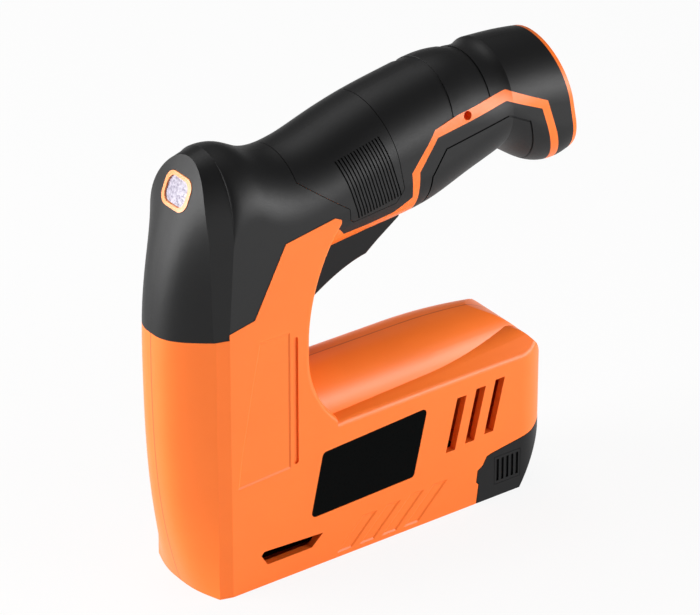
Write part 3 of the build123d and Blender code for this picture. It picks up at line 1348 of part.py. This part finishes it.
catch_coil = coil((CATCH_X, -POCKET_FLOOR - 0.35, CATCH_Z), (0, -1, 0), CATCH_BORE - POCKET_FLOOR - 0.1,
                  2.3, 0.6, 3)
with BuildPart() as catch_spring_left:
    add(catch_coil)
catch_spring_left.part.label = "catch_spring_left"
export_step(catch_spring_left.part, "parts/catch_spring_left.step")
with BuildPart() as catch_spring_right:
    mirror(catch_spring_left.part, about=Plane.XZ)
catch_spring_right.part.label = "catch_spring_right"
export_step(catch_spring_right.part, "parts/catch_spring_right.step")
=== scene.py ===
from math import pi
import bpy
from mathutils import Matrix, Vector


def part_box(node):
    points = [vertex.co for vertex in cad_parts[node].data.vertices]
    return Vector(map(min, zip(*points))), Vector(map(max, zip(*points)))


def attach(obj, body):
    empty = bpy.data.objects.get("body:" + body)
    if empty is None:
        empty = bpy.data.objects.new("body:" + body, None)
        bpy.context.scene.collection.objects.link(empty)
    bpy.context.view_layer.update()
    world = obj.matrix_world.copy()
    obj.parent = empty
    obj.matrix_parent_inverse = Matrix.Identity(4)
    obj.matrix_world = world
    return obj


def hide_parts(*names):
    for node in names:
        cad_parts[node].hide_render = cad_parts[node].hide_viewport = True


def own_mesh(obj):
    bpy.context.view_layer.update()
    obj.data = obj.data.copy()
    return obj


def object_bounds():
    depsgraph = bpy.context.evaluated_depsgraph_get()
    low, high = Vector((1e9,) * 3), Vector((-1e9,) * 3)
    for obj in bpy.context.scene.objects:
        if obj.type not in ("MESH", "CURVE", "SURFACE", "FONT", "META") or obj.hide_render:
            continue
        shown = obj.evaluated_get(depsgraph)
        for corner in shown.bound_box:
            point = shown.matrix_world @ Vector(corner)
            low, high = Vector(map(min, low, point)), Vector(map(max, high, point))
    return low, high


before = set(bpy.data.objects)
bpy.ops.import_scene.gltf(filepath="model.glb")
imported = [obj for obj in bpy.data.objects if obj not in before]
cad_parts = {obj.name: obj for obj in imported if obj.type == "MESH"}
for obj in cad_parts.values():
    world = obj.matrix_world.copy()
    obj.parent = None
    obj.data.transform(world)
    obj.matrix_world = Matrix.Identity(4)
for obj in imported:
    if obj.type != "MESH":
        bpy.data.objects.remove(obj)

cad_low, cad_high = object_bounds()

# Housing halves and handle end cap: the halves meet on the tool's middle plane and carry everything else.
# Orange ABS, injection moulded in a tool with a fine spark-eroded grain, screwed from the right side.
# The grain breaks reflections up into a soft satin sheen, and the pigment clouds very slightly.
MM = 0.001
HOUSING_TONES = ("#FA7928", "#F57224")
PARTING_TONE = "#B8501C"
PARTING_HALF = 0.2 * MM      # wider than the real line, so that it shows
PARTING_SHARE = 0.75
COLOUR_A = 6                 # places of the colour sockets among those of a Mix node
COLOUR_B = 7
COLOUR_OUT = 2


# Linear colour of an sRGB hex value
def linear(colour):
    parts = [int(colour[k:k + 2], 16) / 255 for k in (1, 3, 5)]
    return tuple(p / 12.92 if p <= 0.04045 else ((p + 0.055) / 1.055) ** 2.4 for p in parts) + (1.0,)


# A node with its settings, and with a value or a link for each input
def add_node(tree, kind, settings=None, inputs=None):
    made = tree.nodes.new(kind)
    for name, value in (settings or {}).items():
        setattr(made, name, value)
    for name, value in (inputs or {}).items():
        if isinstance(value, bpy.types.NodeSocket):
            tree.links.new(value, made.inputs[name])
        else:
            made.inputs[name].default_value = value
    return made


# A finish with two tones in clouds, a roughness that follows the grain, and the grain's own relief.
# Grains are drawn coarser than the real ones, so that they show.
def grained(name, tones, cloud, grain, roughness, spread, depth, stretch=(1, 1, 1), **surface):
    finish = bpy.data.materials.new(name)
    finish.use_nodes = True
    tree = finish.node_tree
    shader = tree.nodes["Principled BSDF"]
    for socket, value in surface.items():
        shader.inputs[socket.replace("_", " ")].default_value = value
    place = add_node(tree, "ShaderNodeTexCoord").outputs["Object"]
    drawn = add_node(tree, "ShaderNodeMapping", inputs={"Vector": place, "Scale": stretch}).outputs["Vector"]
    clouds = add_node(tree, "ShaderNodeTexNoise", inputs={"Vector": place, "Scale": 1 / cloud, "Detail": 3.0})
    tint = add_node(tree, "ShaderNodeMix", {"data_type": "RGBA"},
                    {"Factor": clouds.outputs["Fac"], COLOUR_A: linear(tones[0]), COLOUR_B: linear(tones[1])})
    grit = add_node(tree, "ShaderNodeTexNoise", inputs={"Vector": drawn, "Scale": 1 / grain, "Detail": 2.0})
    sheen = add_node(tree, "ShaderNodeMapRange",
                     inputs={"Value": grit.outputs["Fac"], "From Min": 0.25, "From Max": 0.75,
                             "To Min": roughness - spread, "To Max": roughness + spread})
    relief = add_node(tree, "ShaderNodeBump",
                      inputs={"Height": grit.outputs["Fac"], "Distance": depth, "Strength": 1.0})
    tree.links.new(tint.outputs[COLOUR_OUT], shader.inputs["Base Color"])
    tree.links.new(sheen.outputs["Result"], shader.inputs["Roughness"])
    tree.links.new(relief.outputs["Normal"], shader.inputs["Normal"])
    return finish


# The faint dark line where two halves meet on the middle plane
def part_halves(finish, tone):
    tree = finish.node_tree
    place = add_node(tree, "ShaderNodeTexCoord").outputs["Object"]
    across = add_node(tree, "ShaderNodeSeparateXYZ", inputs={0: place}).outputs["Y"]
    offset = add_node(tree, "ShaderNodeMath", {"operation": "ABSOLUTE"}, {0: across})
    line = add_node(tree, "ShaderNodeMapRange",
                    inputs={"Value": offset.outputs[0], "From Min": PARTING_HALF,
                            "From Max": 2 * PARTING_HALF, "To Min": PARTING_SHARE, "To Max": 0.0})
    base = tree.nodes["Principled BSDF"].inputs["Base Color"]
    tint = add_node(tree, "ShaderNodeMix", {"data_type": "RGBA"},
                    {"Factor": line.outputs["Result"], COLOUR_A: base.links[0].from_socket,
                     COLOUR_B: linear(tone)})
    tree.links.new(tint.outputs[COLOUR_OUT], base)


# Gives a finish to CAD nodes
def coat(finish, *names):
    for name in names:
        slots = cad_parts[name].data.materials
        slots.clear()
        slots.append(finish)


orange_abs = grained("orange_abs_spark_grained", HOUSING_TONES, cloud=22 * MM, grain=0.35 * MM,
                     roughness=0.40, spread=0.06, depth=0.006 * MM, IOR=1.53, Specular_IOR_Level=0.35)
part_halves(orange_abs, PARTING_TONE)
coat(orange_abs, "housing_left", "housing_right", "handle_end_cap")

# Screws that join the halves from deep seats.
# Steel, cold headed; its near-black tone is painted shade of their deep holes, with a faint brown mottle.
hole_shade_steel = grained("steel_darkened_for_hole_shade", ("#1A1918", "#221F1D"), cloud=2 * MM, grain=0.3 * MM,
                      roughness=0.42, spread=0.08, depth=0.003 * MM, Metallic=0.6)
coat(hole_shade_steel, "housing_screws")

# Charging socket, shaft bracket and spring plate: pressed sheet.
# Zinc-plated steel; the plating is bright with a faint blue-grey mottle.
zinc_steel = grained("zinc_plated_steel", ("#A9ADB2", "#9A9EA6"), cloud=3 * MM, grain=0.3 * MM,
                     roughness=0.34, spread=0.08, depth=0.003 * MM, Metallic=1.0)
coat(zinc_steel, "charge_socket", "shaft_bracket", "spring_plate")

# Nose guide and staple channel: folded sheet that leads the staples under the blade.
# Spring steel, oiled; its dark warm brown tone is painted shade, so the slot at the nose looks nearly black
# with a warm cast.
slot_shade_steel = grained("steel_painted_slot_shade", ("#3A2A26", "#2C211F"), cloud=4 * MM, grain=0.25 * MM,
                     roughness=0.5, spread=0.1, depth=0.006 * MM, Metallic=0.7)
coat(slot_shade_steel, "nose_guide", "staple_channel")

# Base block and hammer: zinc alloy, die cast, tumbled after trimming.
# The skin is pale grey with small soft blotches and a rough satin shine.
die_cast = grained("die_cast_zinc_alloy", ("#A7A8AA", "#8E8F93"), cloud=5 * MM, grain=0.5 * MM,
                   roughness=0.48, spread=0.1, depth=0.02 * MM, Metallic=1.0)
coat(die_cast, "striker_base", "hammer")

# Bumper under the hammer: a moulded rubber block that takes the end of each blow.
# Dull black, with paler blotches where talc from the mould stays on it.
buffer_rubber = grained("buffer_rubber", ("#1B1B1B", "#262625"), cloud=3 * MM, grain=0.4 * MM,
                        roughness=0.72, spread=0.06, depth=0.02 * MM, IOR=1.52)
coat(buffer_rubber, "bumper")

# Striker blade, its pin, the guide rods and the gears: tool steel, hardened and ground.
# Grinding leaves fine lines up the blade and a dark, clean shine.
ground_steel = grained("ground_tool_steel", ("#7E8084", "#6D6F74"), cloud=6 * MM, grain=0.25 * MM,
                       roughness=0.28, spread=0.08, depth=0.003 * MM, stretch=(1, 1, 0.06), Metallic=1.0)
coat(ground_steel, "striker_blade", "blade_pin", "guide_rods", "output_shaft", "mid_carrier", "lift_gear",
     "planet_mid_1", "planet_mid_2", "planet_mid_3", "planet_out_1", "planet_out_2", "planet_out_3")

# Drive spring: round wire wound between the hammer and the plate above it, which the lift compresses.
# Music wire with plain ends, oil tempered to a dark straw grey with a clean metal shine.
DRIVE_TURNS = 10
DRIVE_WIRE = 2.2 * MM
WIRE_SIDES = 14
STEPS_PER_TURN = 28
MERGE_DISTANCE = 0.001 * MM
SMOOTH_ANGLE = 0.7
spring_wire = grained("oil_tempered_spring_wire", ("#6A675F", "#58554F"), cloud=4 * MM, grain=0.2 * MM,
                      roughness=0.33, spread=0.08, depth=0.004 * MM, Metallic=1.0)


# A coil in the place of a spring node: the wire's round section is swept up a screw and turned to the axis
def wind_spring(node, body, axis, turns, wire):
    low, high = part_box(node)
    middle = (low + high) / 2
    along = Vector(axis)
    length = abs(along.dot(high - low))
    across = max((high - low)[k] for k in range(3) if abs(along[k]) < 0.5)
    bpy.ops.object.select_all(action="DESELECT")
    bpy.ops.mesh.primitive_circle_add(vertices=WIRE_SIDES, radius=wire / 2, rotation=(pi / 2, 0, 0))
    coil = bpy.context.object
    coil.name = node + "_coil"
    bpy.ops.object.transform_apply(location=True, rotation=True, scale=True)
    bpy.ops.object.mode_set(mode="EDIT")
    bpy.ops.mesh.select_all(action="SELECT")
    bpy.ops.transform.translate(value=((across - wire) / 2, 0, wire / 2))
    bpy.ops.object.mode_set(mode="OBJECT")
    sweep = coil.modifiers.new("wind", "SCREW")
    sweep.angle = 2 * pi * turns
    sweep.screw_offset = length - wire
    sweep.steps = STEPS_PER_TURN * turns
    sweep.render_steps = STEPS_PER_TURN * turns
    bpy.ops.object.modifier_apply(modifier="wind")
    bpy.ops.object.mode_set(mode="EDIT")
    bpy.ops.mesh.select_all(action="SELECT")
    bpy.ops.mesh.remove_doubles(threshold=MERGE_DISTANCE)
    bpy.ops.mesh.fill_holes(sides=0)
    bpy.ops.mesh.select_all(action="SELECT")
    bpy.ops.mesh.normals_make_consistent(inside=False)
    bpy.ops.object.mode_set(mode="OBJECT")
    coil.rotation_euler = along.to_track_quat("Z", "Y").to_euler()
    coil.location = middle - along * length / 2
    bpy.ops.object.transform_apply(location=True, rotation=True, scale=True)
    bpy.ops.object.shade_smooth_by_angle(angle=SMOOTH_ANGLE)
    coil.data.materials.append(spring_wire)
    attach(coil, body)
    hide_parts(node)
    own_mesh(coil)


wind_spring("drive_spring", "housing", (0, 0, 1), DRIVE_TURNS, DRIVE_WIRE)

# Shaft bush: a sintered sleeve that carries the gear shaft in its bracket.
# Bronze, pressed from powder and oiled, with a fine porous skin.
sintered = grained("sintered_bronze", ("#B98E4E", "#A87C40"), cloud=2 * MM, grain=0.2 * MM,
                   roughness=0.42, spread=0.08, depth=0.01 * MM, Metallic=1.0)
coat(sintered, "shaft_bush")

# Motor can: a deep-drawn cup that holds the magnets and closes on the end bell.
# Steel, passivated to a cool satin grey, with drawing lines along its length.
motor_can = grained("passivated_drawn_steel", ("#9FA2A6", "#8F9297"), cloud=12 * MM, grain=0.3 * MM,
                    roughness=0.36, spread=0.06, depth=0.003 * MM, stretch=(0.08, 1, 1), Metallic=1.0)
coat(motor_can, "motor_can")

# Motor magnets: two arcs that are glued into the can.
# Ferrite, pressed and sintered, dark grey and slightly rough.
ferrite = grained("sintered_ferrite", ("#2E2E30", "#262628"), cloud=3 * MM, grain=0.3 * MM,
                  roughness=0.6, spread=0.08, depth=0.012 * MM, Metallic=0.3)
coat(ferrite, "motor_magnets")

# Motor rotor: a wound core on the motor's shaft, with the first sun gear at its end.
# Enamelled copper wire, with fine lines along the winding; the hidden shaft takes the same finish.
copper = grained("enamelled_copper_wire", ("#A4592F", "#8C4526"), cloud=1.2 * MM, grain=0.4 * MM,
                 roughness=0.35, spread=0.08, depth=0.02 * MM, stretch=(0.1, 1, 1), Metallic=0.9)
coat(copper, "motor_rotor")

# Motor end bell and trigger switch: stiff mouldings near current and heat.
# Glass-filled nylon, near black, with paler clouds from its fibres in a dull skin.
end_bell = grained("glass_filled_nylon", ("#1F2022", "#2A2B2D"), cloud=4 * MM, grain=0.25 * MM,
                   roughness=0.5, spread=0.08, depth=0.01 * MM, IOR=1.53)
coat(end_bell, "motor_bell", "trigger_switch")

# Motor leads: insulated wires that are laid inside the housing.
# Their red plastic skin is extruded, smooth and slightly glossy.
lead_skin = grained("red_lead_insulation", ("#8E1713", "#7A120F"), cloud=8 * MM, grain=0.5 * MM,
                    roughness=0.4, spread=0.06, depth=0.006 * MM, IOR=1.5)
coat(lead_skin, "motor_leads")

# Gear ring, pusher and switch plunger: mouldings that rub on other pieces.
# Acetal, cream white with a slightly waxy shine.
acetal = grained("moulded_acetal", ("#DAD7CC", "#CFCBBE"), cloud=8 * MM, grain=0.35 * MM,
                 roughness=0.38, spread=0.06, depth=0.005 * MM, IOR=1.48)
coat(acetal, "gear_ring", "pusher", "switch_plunger")

# Magazine rail and pusher rod, which slide out of the housing with the cap, and the spring on the rod.
# Rail and rod are cold-rolled steel, nickel plated, with rolling lines along their length.
PUSHER_TURNS = 30
PUSHER_WIRE = 0.7 * MM
rolled_steel = grained("nickel_plated_strip", ("#B4B2AC", "#A6A39C"), cloud=15 * MM, grain=0.3 * MM,
                       roughness=0.26, spread=0.08, depth=0.003 * MM, stretch=(0.05, 1, 1), Metallic=1.0)
coat(rolled_steel, "magazine_rail", "pusher_rod")
wind_spring("pusher_spring", "magazine", (1, 0, 0), PUSHER_TURNS, PUSHER_WIRE)

# Magazine cap, its squeeze catches and the trigger, with their springs: mouldings that the hand works.
# Black ABS with the same spark grain as the housing, so the light on it stays soft.
CATCH_TURNS = 3
CATCH_WIRE = 0.6 * MM
TRIGGER_TURNS = 4
TRIGGER_WIRE = 0.8 * MM
black_abs = grained("black_abs_spark_grained", ("#08080A", "#0C0C0D"), cloud=18 * MM, grain=0.35 * MM,
                    roughness=0.42, spread=0.07, depth=0.006 * MM, IOR=1.53, Specular_IOR_Level=0.18)
coat(black_abs, "magazine_cap", "catch_left", "catch_right", "trigger")
for side, outward in (("left", -1), ("right", 1)):
    wind_spring("catch_spring_" + side, "magazine", (0, outward, 0), CATCH_TURNS,
                CATCH_WIRE)
wind_spring("trigger_spring", "housing", (0, 0, 1), TRIGGER_TURNS, TRIGGER_WIRE)

# Cell in the handle: a round lithium cell in a sleeve of shrink film.
# The film is blue, taut and glossy.
cell_film = grained("blue_shrink_film", ("#285490", "#234A82"), cloud=14 * MM, grain=0.8 * MM,
                    roughness=0.22, spread=0.05, depth=0.01 * MM, IOR=1.54)
coat(cell_film, "battery_cell")

# Control board and lamp board: cut from glass fibre laminate.
# Lacquered green and glossy, with paler blotches where copper lies under the lacquer.
laminate = grained("green_lacquered_laminate", ("#1A5A30", "#2C7A3E"), cloud=1.4 * MM, grain=0.3 * MM,
                   roughness=0.25, spread=0.08, depth=0.01 * MM, stretch=(0.2, 1, 1), IOR=1.55)
coat(laminate, "control_board", "light_board")

# Lamp bezel: a frame around the lens that snaps into the soft head.
# Pale orange ABS, moulded with a smooth gloss.
bezel_abs = grained("pale_orange_gloss_abs", ("#F79C62", "#F2945A"), cloud=10 * MM, grain=0.4 * MM,
                    roughness=0.3, spread=0.05, depth=0.003 * MM, IOR=1.54, Specular_IOR_Level=0.35)
coat(bezel_abs, "light_bezel")

# Lamp lens: a moulded polycarbonate window with small prisms that spread the light.
# Each prism's tone is painted light, the glint that the prism catches, so the lens looks milky, violet and
# speckled.
# The prisms are drawn coarser than the real ones, so that they show.
PRISM = 0.7 * MM
PRISM_GLINT_TONES = ("#766E83", "#B3ADBC")
PRISM_GLINT_STOPS = (0.15, 0.75)
lens = grained("prismed_polycarbonate", PRISM_GLINT_TONES, cloud=2.2 * MM, grain=0.5 * MM,
               roughness=0.3, spread=0.06, depth=0.02 * MM, IOR=1.58, Specular_IOR_Level=0.3)
tree = lens.node_tree
lens_place = add_node(tree, "ShaderNodeTexCoord").outputs["Object"]
prisms = add_node(tree, "ShaderNodeTexVoronoi", {"feature": "F1"}, {"Vector": lens_place, "Scale": 1 / PRISM})
# Painted light: each prism takes a tone for the light it catches.
prism_glints = add_node(tree, "ShaderNodeValToRGB", inputs={"Fac": prisms.outputs["Color"]})
for stop, position, tone in zip(prism_glints.color_ramp.elements, PRISM_GLINT_STOPS, PRISM_GLINT_TONES):
    stop.position = position
    stop.color = linear(tone)
tree.links.new(prism_glints.outputs["Color"], tree.nodes["Principled BSDF"].inputs["Base Color"])
coat(lens, "light_lens")

# Soft grips: skins moulded onto the head, the handle's back and the finger side, with a pad at the end.
# Black thermoplastic rubber with a fine matt grain, so it shows only broad, soft reflections.
GRIP_PARTING_TONE = "#020202"
soft_grip = grained("black_soft_rubber", ("#09090A", "#0D0D0E"), cloud=25 * MM, grain=0.4 * MM,
                    roughness=0.5, spread=0.06, depth=0.01 * MM, IOR=1.5, Specular_IOR_Level=0.3)
part_halves(soft_grip, GRIP_PARTING_TONE)
coat(soft_grip, "head_grip_left", "head_grip_right", "grip_saddle", "lower_grip_left", "lower_grip_right",
     "end_pad")

# Side plates: bare film in a shallow seat on each flank.
# Polyester, printed solid black on its back, so the face is smooth, even and deep black.
# Its IOR is set below the film's own, to match the object's black.
plate_film = grained("black_polyester_film", ("#030404", "#050606"), cloud=30 * MM, grain=0.6 * MM,
                     roughness=0.3, spread=0.05, depth=0.002 * MM, IOR=1.2, Specular_IOR_Level=0.1)
coat(plate_film, "side_plate_left", "side_plate_right")

# Floor: seamless white studio paper, laid flat under the tool.
# The camera and reflections see it as white, and a small share of its lit surface keeps the shadow.
FLOOR_SIZE = 80
SHADOW_SHARE = 0.1
bpy.ops.object.select_all(action="DESELECT")
bpy.ops.mesh.primitive_plane_add(size=FLOOR_SIZE, location=(0, 0, cad_low.z))
floor = bpy.context.object
floor.name = "floor"
paper = grained("white_studio_paper", ("#F6F6F6", "#F2F2F2"), cloud=300 * MM, grain=2 * MM,
                roughness=0.9, spread=0.05, depth=0.01 * MM)
tree = paper.node_tree
path = add_node(tree, "ShaderNodeLightPath")
mirrored = add_node(tree, "ShaderNodeMath", {"operation": "MAXIMUM"},
                    {0: path.outputs["Is Glossy Ray"], 1: path.outputs["Is Transmission Ray"]})
seen = add_node(tree, "ShaderNodeMath", {"operation": "MAXIMUM"},
                {0: path.outputs["Is Camera Ray"], 1: mirrored.outputs[0]})
share = add_node(tree, "ShaderNodeMath", {"operation": "MULTIPLY"}, {0: seen.outputs[0], 1: 1 - SHADOW_SHARE})
glow = add_node(tree, "ShaderNodeEmission", inputs={"Color": (1, 1, 1, 1), "Strength": 1.0})
both = add_node(tree, "ShaderNodeMixShader", inputs={0: share.outputs[0], 2: glow.outputs[0],
                                                     1: tree.nodes["Principled BSDF"].outputs[0]})
tree.links.new(both.outputs[0], tree.nodes["Material Output"].inputs["Surface"])
floor.data.materials.append(paper)

# Studio light: a dim room and three softboxes, each with its place, width and height in metres, and watts.
# One stands before the nose, one stands low beside the rear of the left flank,
# and a weak one hangs above the right flank.
ROOM_LIGHT = 0.16
LIGHT_AIM = Vector((70, 0, 90)) * MM
SOFTBOXES = (("softbox_nose", (-1.08, 0.52, 0.3), 0.9, 0.8, 28),
             ("softbox_flank", (1.0, -1.05, 0.26), 1.2, 0.5, 23),
             ("softbox_above", (0.2, 0.6, 1.4), 0.8, 0.8, 6))
world = bpy.data.worlds.new("studio")
bpy.context.scene.world = world
world.use_nodes = True
room = world.node_tree.nodes["Background"]
room.inputs["Color"].default_value = (1, 1, 1, 1)
room.inputs["Strength"].default_value = ROOM_LIGHT
for name, lamp_place, width, height, power in SOFTBOXES:
    turn = (LIGHT_AIM - Vector(lamp_place)).to_track_quat("-Z", "Y").to_euler()
    bpy.ops.object.light_add(type="AREA", location=lamp_place, rotation=turn)
    lamp = bpy.context.object
    lamp.name = name
    lamp.data.shape = "RECTANGLE"
    lamp.data.size = width
    lamp.data.size_y = height
    lamp.data.energy = power

# Camera: a long lens from the front left, above the tool.
# Its place, target and lens were fitted to the photograph's view.
CAMERA_PLACE = Vector((-798.33, -1195.87, 910.71)) * MM
CAMERA_TARGET = Vector((74.649, 5.684, 87.452)) * MM
CAMERA_LENS = 231.43
CAMERA_SENSOR = 36
look = (CAMERA_TARGET - CAMERA_PLACE).to_track_quat("-Z", "Y").to_euler()
bpy.ops.object.camera_add(location=CAMERA_PLACE, rotation=look)
camera = bpy.context.object
camera.data.sensor_width = CAMERA_SENSOR
camera.data.lens = CAMERA_LENS
bpy.context.scene.camera = camera
bpy.context.scene.view_settings.view_transform = "Standard"
